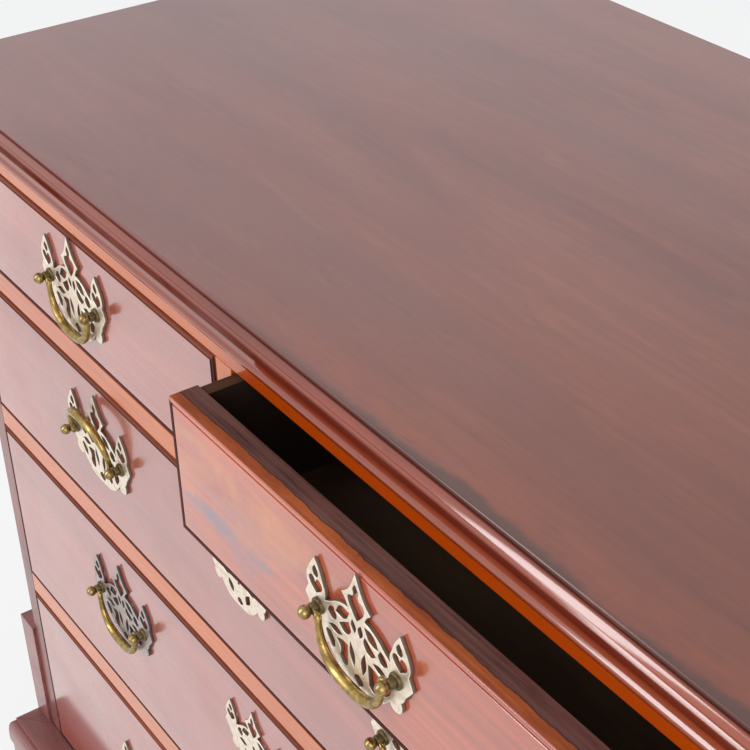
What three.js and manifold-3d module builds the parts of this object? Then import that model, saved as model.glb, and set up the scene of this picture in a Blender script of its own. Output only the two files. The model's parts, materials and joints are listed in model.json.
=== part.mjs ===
// Chest of drawers in mahogany: two short drawers over three long ones, a straight front,
// a moulded top, a moulded base on bracket feet, and pierced brass pulls with hanging bails.
// Millimetres, +X to the viewer's right, +Y towards the back, +Z up.
import * as THREE from 'three';
import { mergeVertices } from 'three/addons/utils/BufferGeometryUtils.js';
import Module from 'manifold-3d';

const wasm = await Module();
wasm.setup();

// Gaps and clearances
const seatGap = 0.3;
const drawerGap = 1.5;
const runnerGap = 0.3;
const cutOverrun = 2;

// Top board
const topWidth = 936;
const topDepth = 534;
const topThickness = 14;
const topOverhang = 9;
const backOverhang = 12;

// Carcase
const sideThickness = 20;
const backThickness = 12;
const bottomThickness = 18;
const railDepth = 60;
const topRailHeight = 42;
const dividerWidth = 20;
const guideHeight = 14;
const dustThickness = 8;

// Rows of drawers: height of each opening, the rail under it, and its pulls' rise over its middle
const upperHeight = 106;
const upperRail = 20;
const upperPullRise = 2;
const secondHeight = 142;
const secondRail = 21;
const secondPullRise = 10;
const thirdHeight = 177;
const thirdRail = 22;
const thirdPullRise = 21;
const lowestHeight = 197;
const lowestPullRise = 8;
const rows = [
  { name: 'upper', height: upperHeight, rail: upperRail, pullRise: upperPullRise, split: true },
  { name: 'second', height: secondHeight, rail: secondRail, pullRise: secondPullRise },
  { name: 'third', height: thirdHeight, rail: thirdRail, pullRise: thirdPullRise },
  { name: 'lowest', height: lowestHeight, rail: 0, pullRise: lowestPullRise },
];

// State in which the chest stands: one short drawer out, one bail thrown up
const openDrawer = 'upper_right';
const openDistance = 45;
const raisedBail = 'second_left';
const raisedAngle = THREE.MathUtils.degToRad(170);

// Moulding under and round the edge of the top, from the top surface down
const edgeFillet = 3.2;
const edgeLedge = 1.8;
const ovoloNose = 6.4;
const ovoloHeight = 13.5;
const ovoloNoseDepth = 3.8;
const ovoloFoot = 2.8;
const cavettoStep = 1.4;
const cavettoHeight = 15.5;
const cavettoFoot = 5;
const beadHeight = 8.5;
const beadSwell = 1.4;
const beadFoot = 3;

// Base moulding, from its top ledge down
const baseMouldingHeight = 56;
const baseLedge = 29;
const baseFillet = 5;
const baseStep = 1;
const baseOvoloReach = 7;
const baseOvoloHeight = 22;
const baseFlat = 6;
const baseScotiaHeight = 12;
const baseFootReach = 6;

// Plinth boards on the sides, standing on the base moulding
const plinthHeight = 132;
const plinthProud = 3;

// Bracket feet
const footHeight = 106;
const footPadWidth = 62;
const bracketReach = 140;
const bracketLip = 12;
const bracketCusp = 5;
const bracketThickness = 22;
const footBlockSize = 38;
const footBlockLift = 6;
const cuspReachShare = 0.3;
const cuspHeightShare = 0.56;

// Drawers
const frontProud = 1;
const frontThickness = 21;
const drawerBackGap = 34;
const drawerSideThickness = 10;
const drawerSideDrop = 2;
const drawerBottomThickness = 6;
const drawerBottomLift = 6;
const beadStripWidth = 2.4;
const quirkWidth = 1;
const quirkDepth = 1;

// Pull plates
const pullInset = 215;
const shortPullInset = 221;
const pullSpacing = 76;
const plateHalfWidth = 52.5;
const plateRise = 48;
const plateThickness = 2.5;
const collarRadius = 5.5;
const collarHeight = 2.2;
const postRadius = 3.6;
const neckRadius = 2.7;
const hingeHeight = 7.9;
const ballRadius = 4.3;
const ballHeight = 12.4;
const postSides = 10;
const ballSteps = 3;

// Bails
const bailEndRadius = 2.1;
const bailMiddleRadius = 3.8;
const bailDrop = 32;
const bailSideGap = 0.5;
const bailStub = 2.6;
const bailSquareness = 2.6;
const bailSteps = 14;
const bailCurveSegments = 4;
const pinRadius = 1.6;
const pinClearance = 0.3;
const pinHoleDepth = 1;

// Escutcheons
const escutcheonHalfWidth = 42;
const escutcheonRise = 39;
const escutcheonLift = 12;
const escutcheonThickness = 2.2;
const keyholeRadius = 2.6;
const keyholeLength = 8;

// Right half of a plate's outline from the crest down, as shares of half width and rise
const plateOutlineShares = [
  [0, 1], [0.13, 0.75], [0.21, 0.63], [0.27, 0.58], [0.18, 0.48], [0.14, 0.39],
  [0.25, 0.375], [0.39, 0.32], [0.51, 0.22], [0.6, 0.16], [0.64, 0.32], [0.66, 0.5],
  [0.79, 0.69], [0.88, 0.55], [0.96, 0.35], [0.94, 0.18], [1, 0.05], [0.91, -0.09],
  [0.84, -0.22], [0.81, -0.33], [0.73, -0.51], [0.6, -0.45], [0.5, -0.56], [0.35, -0.7],
  [0.21, -0.74], [0, -0.73],
];

// Leaf-shaped piercings: place, half length and half width as shares, and turn in degrees
const middlePiercingShares = [
  { x: 0, z: 0.74, length: 0.12, width: 0.045, turn: 90 },
  { x: 0, z: 0.5, length: 0.1, width: 0.065, turn: 0 },
  { x: 0, z: -0.6, length: 0.065, width: 0.055, turn: 90 },
];
const pairedPiercingShares = [
  { x: 0.27, z: 0.22, length: 0.115, width: 0.05, turn: -22 },
  { x: 0.085, z: 0.26, length: 0.055, width: 0.03, turn: 60 },
  { x: 0.18, z: 0.03, length: 0.065, width: 0.036, turn: -30 },
  { x: 0.46, z: 0.08, length: 0.055, width: 0.032, turn: -60 },
  { x: 0.43, z: -0.15, length: 0.115, width: 0.046, turn: 0 },
  { x: 0.1, z: -0.26, length: 0.14, width: 0.036, turn: 82 },
  { x: 0.27, z: -0.39, length: 0.13, width: 0.045, turn: 72 },
  { x: 0.78, z: 0.47, length: 0.05, width: 0.032, turn: 90 },
  { x: 0.8, z: 0.26, length: 0.07, width: 0.045, turn: 0 },
];
const keyPiercingShares = [
  { x: 0.27, z: 0.2, length: 0.12, width: 0.05, turn: -22 },
  { x: 0.43, z: -0.15, length: 0.115, width: 0.05, turn: 0 },
  { x: 0.24, z: -0.42, length: 0.13, width: 0.05, turn: 66 },
  { x: 0.78, z: 0.36, length: 0.1, width: 0.045, turn: 90 },
];

// Derived sizes of the carcase
const caseWidth = topWidth - 2 * topOverhang;
const caseDepth = topDepth - topOverhang - backOverhang;
const halfCase = caseWidth / 2;
const openingWidth = caseWidth - 2 * sideThickness;
const innerDepth = caseDepth - backThickness;
const drawerLength = innerDepth - drawerBackGap;
const caseBottom = footHeight;
const rowsHeight = rows.reduce((sum, row) => sum + row.height + row.rail, 0);
const caseTop = footHeight + baseMouldingHeight + rowsHeight + topRailHeight;
const chestHeight = caseTop + topThickness;

// Piece colours
const showWood = 0x8f4429;
const topWood = 0x7a4334;
const railWood = 0xb4552a;
const innerWood = 0x6b3a22;
const plainWood = 0x9c7448;
const plateBrass = 0xcfc09a;
const bailBrass = 0xa8873c;

const chest = new THREE.Group();

function woodMaterial(colour) {
  return new THREE.MeshStandardMaterial({ color: colour, roughness: 0.35, metalness: 0 });
}

function brassMaterial(colour) {
  return new THREE.MeshStandardMaterial({ color: colour, roughness: 0.4, metalness: 1 });
}

function addPiece(parent, name, geometry, material) {
  const mesh = new THREE.Mesh(geometry, material);
  mesh.name = name;
  parent.add(mesh);
  return mesh;
}

// A box between two corners
function boxBetween(low, high) {
  const size = high.map((value, axis) => value - low[axis]);
  const middle = high.map((value, axis) => (value + low[axis]) / 2);
  return new THREE.BoxGeometry(...size).translate(...middle);
}

// Solids for cutting and joining
function toSolid(geometry) {
  const bare = geometry.clone();
  bare.deleteAttribute('normal');
  bare.deleteAttribute('uv');
  const merged = mergeVertices(bare);
  const vertProperties = new Float32Array(merged.attributes.position.array);
  const triVerts = new Uint32Array(merged.index.array);
  return new wasm.Manifold(new wasm.Mesh({ numProp: 3, vertProperties, triVerts }));
}

function toGeometry(solid) {
  const mesh = solid.getMesh();
  const geometry = new THREE.BufferGeometry();
  geometry.setAttribute('position', new THREE.BufferAttribute(mesh.vertProperties, 3));
  geometry.setIndex(new THREE.BufferAttribute(mesh.triVerts, 1));
  return geometry;
}

function joined(base, additions, cuts = []) {
  let solid = toSolid(base);
  for (const addition of additions) {
    solid = solid.add(toSolid(addition));
  }
  for (const cut of cuts) {
    solid = solid.subtract(toSolid(cut));
  }
  return toGeometry(solid);
}

// A moulding of one section, mitred where it meets its neighbour.
// The section's x is the reach out from the carcase face, its y is the height.
function mouldingAlongX(section, halfLength) {
  const geometry = new THREE.ExtrudeGeometry(section, { depth: 1, bevelEnabled: false });
  const places = geometry.attributes.position;
  const mitreGap = seatGap * Math.SQRT2;
  for (let i = 0; i < places.count; i += 1) {
    const reach = places.getX(i);
    const height = places.getY(i);
    const end = places.getZ(i) > 0 ? -1 : 1;
    places.setXYZ(i, end * (halfLength + reach - mitreGap), -reach, height);
  }
  return geometry;
}

function mouldingAlongY(section, length, side) {
  const geometry = new THREE.ExtrudeGeometry(section, { depth: 1, bevelEnabled: false });
  const places = geometry.attributes.position;
  for (let i = 0; i < places.count; i += 1) {
    const reach = places.getX(i);
    const height = places.getY(i);
    const atFront = places.getZ(i) > 0;
    places.setXYZ(i, reach, atFront ? -reach : length, height);
  }
  if (side > 0) {
    return geometry;
  }
  return mirroredAcrossX(geometry);
}

// Mirrors a plain triangle soup and turns its faces round again
function mirroredAcrossX(geometry) {
  const places = geometry.attributes.position;
  for (let i = 0; i < places.count; i += 3) {
    const corners = [i, i + 2, i + 1].map((k) => new THREE.Vector3().fromBufferAttribute(places, k));
    corners.forEach((corner, k) => places.setXYZ(i + k, -corner.x, corner.y, corner.z));
  }
  geometry.deleteAttribute('normal');
  return geometry;
}

// Top board and the moulding round its edge
function topSection() {
  const board = topOverhang + seatGap;
  const ledge = topOverhang + edgeLedge;
  const ovoloBottom = -edgeFillet - ovoloHeight;
  const cavettoTop = topOverhang + ovoloFoot + cavettoStep;
  const cavettoBottom = ovoloBottom - cavettoHeight;
  const beadBottom = cavettoBottom - beadHeight;
  const nose = topOverhang + ovoloNose + edgeLedge;
  const section = new THREE.Shape();
  section.moveTo(seatGap, beadBottom);
  section.lineTo(beadFoot, beadBottom);
  section.quadraticCurveTo(
    cavettoFoot + 2 * beadSwell,
    beadBottom + beadSwell,
    cavettoFoot,
    cavettoBottom,
  );
  section.quadraticCurveTo(cavettoFoot, ovoloBottom, cavettoTop - cavettoStep, ovoloBottom);
  section.lineTo(cavettoTop, ovoloBottom);
  section.quadraticCurveTo(nose, -edgeFillet - ovoloNoseDepth, ledge, -edgeFillet);
  section.lineTo(board, -edgeFillet);
  section.lineTo(board, -topThickness - seatGap);
  section.lineTo(seatGap, -topThickness - seatGap);
  section.closePath();
  return section;
}

function addTop() {
  const low = [-topWidth / 2, -topOverhang, caseTop];
  const high = [topWidth / 2, topDepth - topOverhang, chestHeight];
  addPiece(chest, 'top_board', boxBetween(low, high), woodMaterial(topWood));
  const section = topSection();
  const front = mouldingAlongX(section, halfCase);
  const frontPiece = addPiece(chest, 'top_moulding_front', front, woodMaterial(showWood));
  frontPiece.position.z = chestHeight;
  for (const [label, side] of [['left', -1], ['right', 1]]) {
    const strip = mouldingAlongY(section, caseDepth, side);
    const piece = addPiece(chest, `top_moulding_${label}`, strip, woodMaterial(showWood));
    piece.position.set(side * halfCase, 0, chestHeight);
  }
}

// Sides, back, bottom, rails, divider, guide and dust panels
function addCarcase() {
  const innerHalf = openingWidth / 2 - seatGap;
  const boardTop = caseTop - seatGap;
  for (const [label, side] of [['left', -1], ['right', 1]]) {
    const board = new THREE.BoxGeometry(sideThickness, caseDepth, boardTop - caseBottom);
    const piece = addPiece(chest, `side_${label}`, board, woodMaterial(showWood));
    piece.position.set(
      side * (halfCase - sideThickness / 2),
      caseDepth / 2,
      (boardTop + caseBottom) / 2,
    );
  }
  const back = boxBetween(
    [-innerHalf, innerDepth + seatGap, caseBottom],
    [innerHalf, caseDepth, boardTop],
  );
  addPiece(chest, 'back_board', back, woodMaterial(plainWood));
  const bottomTop = caseBottom + baseMouldingHeight;
  const bottom = boxBetween(
    [-innerHalf, 0, bottomTop - bottomThickness],
    [innerHalf, innerDepth, bottomTop],
  );
  addPiece(chest, 'bottom_board', bottom, woodMaterial(plainWood));
  const topRail = boxBetween([-innerHalf, 0, caseTop - topRailHeight], [innerHalf, railDepth, boardTop]);
  addPiece(chest, 'top_rail', topRail, woodMaterial(railWood));
}

function addRail(row, bottom) {
  const innerHalf = openingWidth / 2 - seatGap;
  const rail = boxBetween([-innerHalf, 0, bottom - row.rail], [innerHalf, railDepth, bottom]);
  addPiece(chest, `rail_below_${row.name}`, rail, woodMaterial(railWood));
  const panel = boxBetween(
    [-innerHalf, railDepth + seatGap, bottom - dustThickness],
    [innerHalf, innerDepth, bottom],
  );
  addPiece(chest, `dust_panel_${row.name}`, panel, woodMaterial(plainWood));
}

function addDivider(row, bottom) {
  const half = dividerWidth / 2;
  const divider = boxBetween(
    [-half, 0, bottom + seatGap],
    [half, railDepth, bottom + row.height - seatGap],
  );
  addPiece(chest, 'centre_divider', divider, woodMaterial(railWood));
  const guide = boxBetween(
    [-half, railDepth + seatGap, bottom + seatGap],
    [half, innerDepth, bottom + seatGap + guideHeight],
  );
  addPiece(chest, 'centre_guide', guide, woodMaterial(plainWood));
}

// Base moulding, plinth boards and bracket feet
function baseSection() {
  const ledge = baseLedge + baseStep;
  const nose = ledge + baseOvoloReach;
  const ovoloBottom = -baseFillet - baseOvoloHeight;
  const flatBottom = ovoloBottom - baseFlat;
  const foot = baseLedge + baseFootReach;
  const section = new THREE.Shape();
  section.moveTo(seatGap, -baseMouldingHeight);
  section.lineTo(foot, -baseMouldingHeight);
  section.lineTo(foot, flatBottom - baseScotiaHeight);
  section.quadraticCurveTo(foot, flatBottom, nose, flatBottom);
  section.lineTo(nose, ovoloBottom);
  section.quadraticCurveTo(nose, -baseFillet, ledge, -baseFillet);
  section.lineTo(baseLedge, -baseFillet);
  section.lineTo(baseLedge, 0);
  section.lineTo(seatGap, 0);
  section.closePath();
  return section;
}

function addBase() {
  const section = baseSection();
  const top = caseBottom + baseMouldingHeight;
  const front = mouldingAlongX(section, halfCase);
  const frontPiece = addPiece(chest, 'base_moulding_front', front, woodMaterial(showWood));
  frontPiece.position.z = top;
  for (const [label, side] of [['left', -1], ['right', 1]]) {
    const strip = mouldingAlongY(section, caseDepth, side);
    const piece = addPiece(chest, `base_moulding_${label}`, strip, woodMaterial(showWood));
    piece.position.set(side * halfCase, 0, top);
    const boardThickness = baseLedge - seatGap;
    const boardLength = caseDepth + plinthProud;
    const board = new THREE.BoxGeometry(boardThickness, boardLength, plinthHeight);
    const plinth = addPiece(chest, `plinth_board_${label}`, board, woodMaterial(showWood));
    plinth.position.set(
      side * (halfCase + seatGap + boardThickness / 2),
      caseDepth - boardLength / 2,
      top + seatGap + plinthHeight / 2,
    );
  }
}

// One bracket in elevation, its outer edge at x = 0, with an ogee cut on the inner side
function bracketShape() {
  const height = footHeight - seatGap;
  const span = bracketReach - footPadWidth;
  const cuspX = footPadWidth + span * cuspReachShare;
  const cuspZ = height * cuspHeightShare;
  const shape = new THREE.Shape();
  shape.moveTo(0, 0);
  shape.lineTo(footPadWidth, 0);
  shape.quadraticCurveTo(footPadWidth, cuspZ, cuspX, cuspZ);
  shape.lineTo(cuspX, cuspZ + bracketCusp);
  shape.quadraticCurveTo(cuspX, height - bracketLip, bracketReach, height - bracketLip);
  shape.lineTo(bracketReach, height);
  shape.lineTo(0, height);
  shape.closePath();
  return shape;
}

function addFeet() {
  const board = new THREE.ExtrudeGeometry(bracketShape(), { depth: bracketThickness, bevelEnabled: false });
  const alongX = board.clone().rotateX(Math.PI / 2).translate(0, bracketThickness, 0);
  const alongY = board.clone().rotateX(Math.PI / 2).rotateZ(Math.PI / 2);
  const blockEnd = bracketThickness + footBlockSize;
  const blockStart = bracketThickness - cutOverrun;
  const block = boxBetween(
    [blockStart, blockStart, footBlockLift],
    [blockEnd, blockEnd, footHeight - seatGap],
  );
  const foot = joined(alongX, [alongY, block]);
  const cornerX = halfCase + baseLedge;
  const corners = [
    { name: 'foot_front_left', x: -cornerX, y: -baseLedge, turn: 0 },
    { name: 'foot_front_right', x: cornerX, y: -baseLedge, turn: 1 },
    { name: 'foot_back_right', x: cornerX, y: caseDepth, turn: 2 },
    { name: 'foot_back_left', x: -cornerX, y: caseDepth, turn: 3 },
  ];
  for (const corner of corners) {
    const piece = addPiece(chest, corner.name, foot, woodMaterial(showWood));
    piece.position.set(corner.x, corner.y, 0);
    piece.rotation.z = corner.turn * (Math.PI / 2);
  }
}

// Drawer front: a board with a bead round its edges, set off by a narrow quirk
function drawerFront(width, height) {
  const board = boxBetween([-width / 2, -frontProud, 0], [width / 2, frontThickness - frontProud, height]);
  const outer = beadStripWidth;
  const inner = beadStripWidth + quirkWidth;
  const face = -frontProud - cutOverrun;
  const floor = quirkDepth - frontProud;
  const ring = joined(
    boxBetween([outer - width / 2, face, outer], [width / 2 - outer, floor, height - outer]),
    [],
    [boxBetween(
      [inner - width / 2, face - cutOverrun, inner],
      [width / 2 - inner, floor + cutOverrun, height - inner],
    )],
  );
  return joined(board, [], [ring]);
}

// Sides and back of a drawer in one bent board, open to the front
function drawerBox(width, height) {
  const start = frontThickness - frontProud + seatGap;
  const half = width / 2;
  const inside = half - drawerSideThickness;
  const plan = new THREE.Shape();
  plan.moveTo(-half, start);
  plan.lineTo(-inside, start);
  plan.lineTo(-inside, drawerLength - drawerSideThickness);
  plan.lineTo(inside, drawerLength - drawerSideThickness);
  plan.lineTo(inside, start);
  plan.lineTo(half, start);
  plan.lineTo(half, drawerLength);
  plan.lineTo(-half, drawerLength);
  plan.closePath();
  return new THREE.ExtrudeGeometry(plan, { depth: height, bevelEnabled: false });
}

function drawerBottom(width) {
  const half = width / 2 - drawerSideThickness - seatGap;
  return boxBetween(
    [-half, frontThickness - frontProud + seatGap, drawerBottomLift],
    [half, drawerLength - drawerSideThickness - seatGap, drawerBottomLift + drawerBottomThickness],
  );
}

// A pierced leaf, turned about its own middle
function leafHole(share, halfWidth, rise) {
  const length = share.length * halfWidth;
  const width = share.width * halfWidth;
  const turn = THREE.MathUtils.degToRad(share.turn);
  const middle = new THREE.Vector2(share.x * halfWidth, share.z * rise);
  const corners = [
    [length, 0], [length / 2, width], [-length / 2, width],
    [-length, 0], [-length / 2, -width], [length / 2, -width],
  ];
  const centre = new THREE.Vector2();
  const points = corners.map(([x, z]) => new THREE.Vector2(x, z).rotateAround(centre, turn).add(middle));
  return new THREE.Path(points);
}

function mirrored(share) {
  return { ...share, x: -share.x, turn: -share.turn };
}

function plateShape(halfWidth, rise) {
  const right = plateOutlineShares.map(([x, z]) => new THREE.Vector2(x * halfWidth, z * rise));
  const left = right.slice(1, -1).reverse().map((point) => new THREE.Vector2(-point.x, point.y));
  return new THREE.Shape([...right, ...left]);
}

function plateSlab(shape, thickness) {
  return new THREE.ExtrudeGeometry(shape, { depth: thickness, bevelEnabled: false }).rotateX(Math.PI / 2);
}

// A turned post with a collar on the plate and a ball at the end, along -Y
function turnedPost(side) {
  const collarTop = plateThickness + collarHeight;
  const neckAngle = -Math.acos(neckRadius / ballRadius);
  const profile = [
    new THREE.Vector2(0, plateThickness / 2),
    new THREE.Vector2(collarRadius, plateThickness / 2),
    new THREE.Vector2(collarRadius, collarTop),
    new THREE.Vector2(postRadius, collarTop),
    new THREE.Vector2(postRadius, ballHeight + ballRadius * Math.sin(neckAngle)),
  ];
  for (let i = 0; i < ballSteps; i += 1) {
    const angle = neckAngle + (Math.PI / 2 - neckAngle) * (i / ballSteps);
    const along = ballHeight + ballRadius * Math.sin(angle);
    profile.push(new THREE.Vector2(ballRadius * Math.cos(angle), along));
  }
  profile.push(new THREE.Vector2(0, ballHeight + ballRadius));
  const post = new THREE.LatheGeometry(profile, postSides);
  return post.rotateX(Math.PI).translate(side * pullSpacing / 2, 0, 0);
}

function pinHole(side) {
  const reach = postRadius + cutOverrun + pinHoleDepth;
  const radius = pinRadius + pinClearance;
  const hole = new THREE.CylinderGeometry(radius, radius, reach, postSides);
  const middle = pullSpacing / 2 + pinHoleDepth - reach / 2;
  return hole.rotateZ(Math.PI / 2).translate(side * middle, -hingeHeight, 0);
}

function pullPlate() {
  const shape = plateShape(plateHalfWidth, plateRise);
  const shares = [...middlePiercingShares, ...pairedPiercingShares, ...pairedPiercingShares.map(mirrored)];
  shape.holes = shares.map((share) => leafHole(share, plateHalfWidth, plateRise));
  const slab = plateSlab(shape, plateThickness);
  return joined(slab, [turnedPost(-1), turnedPost(1)], [pinHole(-1), pinHole(1)]);
}

// Keyhole: a round over a slot
function keyhole() {
  const half = keyholeRadius / 2;
  const shoulder = Math.asin(half / keyholeRadius);
  const path = new THREE.Path();
  path.moveTo(-half, -keyholeLength);
  path.lineTo(half, -keyholeLength);
  path.absarc(0, 0, keyholeRadius, shoulder - Math.PI / 2, 3 * Math.PI / 2 - shoulder, false);
  path.closePath();
  return path;
}

function escutcheon() {
  const shape = plateShape(escutcheonHalfWidth, escutcheonRise);
  const shares = [...middlePiercingShares, ...keyPiercingShares, ...keyPiercingShares.map(mirrored)];
  shape.holes = shares.map((share) => leafHole(share, escutcheonHalfWidth, escutcheonRise));
  shape.holes.push(keyhole());
  return plateSlab(shape, escutcheonThickness);
}

// Bail: a squared half ellipse hanging from two pins that turn in the posts
const bailHalfWidth = pullSpacing / 2 - ballRadius - bailEndRadius - bailSideGap;

class BailCurve extends THREE.Curve {
  getPoint(t, target = new THREE.Vector3()) {
    const angle = Math.PI * t;
    const power = 2 / bailSquareness;
    const across = Math.abs(Math.cos(angle)) ** power * Math.sign(Math.cos(angle));
    const down = Math.abs(Math.sin(angle)) ** power;
    return target.set(-bailHalfWidth * across, 0, -bailDrop * down);
  }
}

// Thickens a hoop of even thickness towards its middle, ring by ring
function swelled(hoop, curve) {
  const places = hoop.attributes.position;
  const centres = Array.from({ length: bailSteps + 1 }, (_, i) => curve.getPoint(i / bailSteps));
  const point = new THREE.Vector3();
  for (let i = 0; i < places.count; i += 1) {
    point.fromBufferAttribute(places, i);
    const centre = centres.reduce((a, b) => (a.distanceTo(point) < b.distanceTo(point) ? a : b));
    const swell = (-centre.z / bailDrop) ** 2;
    const radius = THREE.MathUtils.lerp(bailEndRadius, bailMiddleRadius, swell);
    point.sub(centre).multiplyScalar(radius / bailEndRadius).add(centre);
    places.setXYZ(i, point.x, point.y, point.z);
  }
  return hoop;
}

function bail() {
  const section = new THREE.Shape();
  section.absarc(0, 0, bailEndRadius, 0, 2 * Math.PI, false);
  const curve = new BailCurve();
  const path = { steps: bailSteps, curveSegments: bailCurveSegments, extrudePath: curve };
  const hoop = swelled(new THREE.ExtrudeGeometry(section, path), curve);
  const pinReach = pullSpacing / 2 - bailHalfWidth;
  const extras = [];
  for (const side of [-1, 1]) {
    const stub = new THREE.CylinderGeometry(bailEndRadius, bailEndRadius, 2 * bailStub, 2 * bailCurveSegments);
    extras.push(stub.rotateX(Math.PI / 2).translate(side * bailHalfWidth, 0, 0));
    const pin = new THREE.CylinderGeometry(pinRadius, pinRadius, pinReach, 2 * bailCurveSegments);
    extras.push(pin.rotateZ(Math.PI / 2).translate(side * (bailHalfWidth + pinReach / 2), 0, 0));
  }
  return joined(hoop, extras);
}

const pullPlateGeometry = pullPlate();
const bailGeometry = bail();
const escutcheonGeometry = escutcheon();

function addPull(drawer, label, x, z) {
  const pull = new THREE.Group();
  pull.position.set(x, -frontProud - seatGap, z);
  drawer.add(pull);
  addPiece(pull, `pull_plate_${label}`, pullPlateGeometry, brassMaterial(plateBrass));
  const hoop = addPiece(pull, `bail_${label}`, bailGeometry, brassMaterial(bailBrass));
  hoop.position.y = -hingeHeight;
  if (label === raisedBail) {
    hoop.rotation.x = -raisedAngle;
  }
}

// A whole drawer; its group stands at the middle of its opening's floor
function addDrawer(label, row, bottom, middle, width) {
  const drawer = new THREE.Group();
  drawer.position.set(middle, label === openDrawer ? -openDistance : 0, bottom);
  chest.add(drawer);
  const frontWidth = width - 2 * drawerGap;
  const frontHeight = row.height - 2 * drawerGap;
  const front = addPiece(
    drawer,
    `drawer_front_${label}`,
    drawerFront(frontWidth, frontHeight),
    woodMaterial(showWood),
  );
  front.position.z = drawerGap;
  const boxHeight = row.height - runnerGap - drawerGap - drawerSideDrop;
  const walls = drawerBox(frontWidth, boxHeight);
  addPiece(drawer, `drawer_box_${label}`, walls, woodMaterial(innerWood)).position.z = runnerGap;
  const floor = drawerBottom(frontWidth);
  addPiece(drawer, `drawer_bottom_${label}`, floor, woodMaterial(plainWood)).position.z = runnerGap;
  const pullHeight = row.height / 2 + row.pullRise;
  if (row.split) {
    addPull(drawer, label, Math.sign(middle) * shortPullInset - middle, pullHeight);
    return;
  }
  addPull(drawer, `${label}_left`, -pullInset, pullHeight);
  addPull(drawer, `${label}_right`, pullInset, pullHeight);
  const key = addPiece(drawer, `escutcheon_${label}`, escutcheonGeometry, brassMaterial(plateBrass));
  key.position.set(0, -frontProud - seatGap, pullHeight + escutcheonLift);
}

function addRows() {
  let rowTop = caseTop - topRailHeight;
  for (const row of rows) {
    const bottom = rowTop - row.height;
    if (row.split) {
      const width = (openingWidth - dividerWidth) / 2;
      const middle = (width + dividerWidth) / 2;
      addDivider(row, bottom);
      for (const [label, side] of [['left', -1], ['right', 1]]) {
        addDrawer(`${row.name}_${label}`, row, bottom, side * middle, width);
      }
    } else {
      addDrawer(row.name, row, bottom, 0, openingWidth);
    }
    if (row.rail > 0) {
      addRail(row, bottom);
    }
    rowTop = bottom - row.rail;
  }
}

addTop();
addCarcase();
addBase();
addFeet();
addRows();

// The origin is the middle of the footprint, on the floor
const middle = new THREE.Box3().setFromObject(chest, true).getCenter(new THREE.Vector3());
chest.position.set(-middle.x, -middle.y, 0);

export default chest;
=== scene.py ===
# Dresses a mahogany chest of drawers: polished wood with grain, fine mouldings with eased edges,
# and pierced brass pulls. Metres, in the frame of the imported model.
import json
import math

import bmesh
import bpy
from mathutils import Euler, Matrix, Vector


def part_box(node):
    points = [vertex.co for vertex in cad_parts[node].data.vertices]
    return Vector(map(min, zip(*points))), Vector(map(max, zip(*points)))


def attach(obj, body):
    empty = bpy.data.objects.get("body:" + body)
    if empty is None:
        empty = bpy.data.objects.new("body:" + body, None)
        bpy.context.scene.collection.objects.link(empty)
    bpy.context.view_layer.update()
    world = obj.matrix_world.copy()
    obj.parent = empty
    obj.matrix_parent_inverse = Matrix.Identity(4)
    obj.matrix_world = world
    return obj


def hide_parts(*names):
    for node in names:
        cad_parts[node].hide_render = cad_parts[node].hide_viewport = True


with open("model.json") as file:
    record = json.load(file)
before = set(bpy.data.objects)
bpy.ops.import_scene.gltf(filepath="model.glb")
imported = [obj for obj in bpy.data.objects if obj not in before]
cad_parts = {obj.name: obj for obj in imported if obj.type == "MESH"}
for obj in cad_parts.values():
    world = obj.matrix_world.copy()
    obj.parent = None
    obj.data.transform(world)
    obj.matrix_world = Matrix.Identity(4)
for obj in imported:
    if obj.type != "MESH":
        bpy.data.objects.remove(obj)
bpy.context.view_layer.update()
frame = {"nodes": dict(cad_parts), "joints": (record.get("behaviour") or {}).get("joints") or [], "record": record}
nodes = frame["nodes"]
bodies = frame["record"]["behaviour"]["bodies"]
body_of_node = {node: body for body, members in bodies.items() for node in members}
MM = 0.001

# Camera, measured from the front plane of the rails and the top surface
CAMERA_RIGHT = 790.2 * MM
CAMERA_FORWARD = 412.8 * MM
CAMERA_OVER_TOP = 503.65 * MM
CAMERA_AZIMUTH = 54.58
CAMERA_ELEVATION = 33.74
CAMERA_ROLL = -0.84
FOCAL_PX = 1639.4
CENTRE_PX = (413.93, 398.77)
IMAGE_PX = 750
SENSOR_MM = 36.0

# Edge easing: how far each kind of piece is worn, and how a worn edge is found and rounded
BOARD_EASE = 0.6 * MM
MOULDING_EASE = 0.35 * MM
BASE_EASE = 0.5 * MM
FOOT_EASE = 0.8 * MM
TOP_EASE = 1.0 * MM
EASE_SEGMENTS = 2
EASE_PROFILE = 0.6
SHARP_DEGREES = 32
FLAT_DEGREES = 0.5
MERGE_DISTANCE = 0.005 * MM
ORNAMENT_MERGE_DISTANCE = 0.01 * MM

# Shading: turns up to these angles look smooth, and faces broader or more level than these look flat
WOOD_SMOOTH_DEGREES = 35
BRASS_SMOOTH_DEGREES = 50
BAIL_SMOOTH_DEGREES = 60
BROAD_WIDTH = 4 * MM
LEVEL_COSINE = 0.9999
LOOKS_UP = 0.9

# Drawer fronts
FACING_SHARE = 0.41
BEAD_WIDTH = 3.3 * MM
BEAD_ROUND = 1.0 * MM
QUIRK_WIDTH = 0.8 * MM
QUIRK_DEPTH = 0.9 * MM
QUIRK_LIP = ((0.2 * MM, -0.2 * MM), (0.5 * MM, 0.0))
BEAD_STEPS = (30, 60, 90)

# Noise: the range that its values mostly keep to, and how far each piece's pattern is moved along X, Y and Z
NOISE_RANGE = (0.3, 0.7)
SHIFTS = (("X", 1.0), ("Y", 1.7), ("Z", 2.3))

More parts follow.
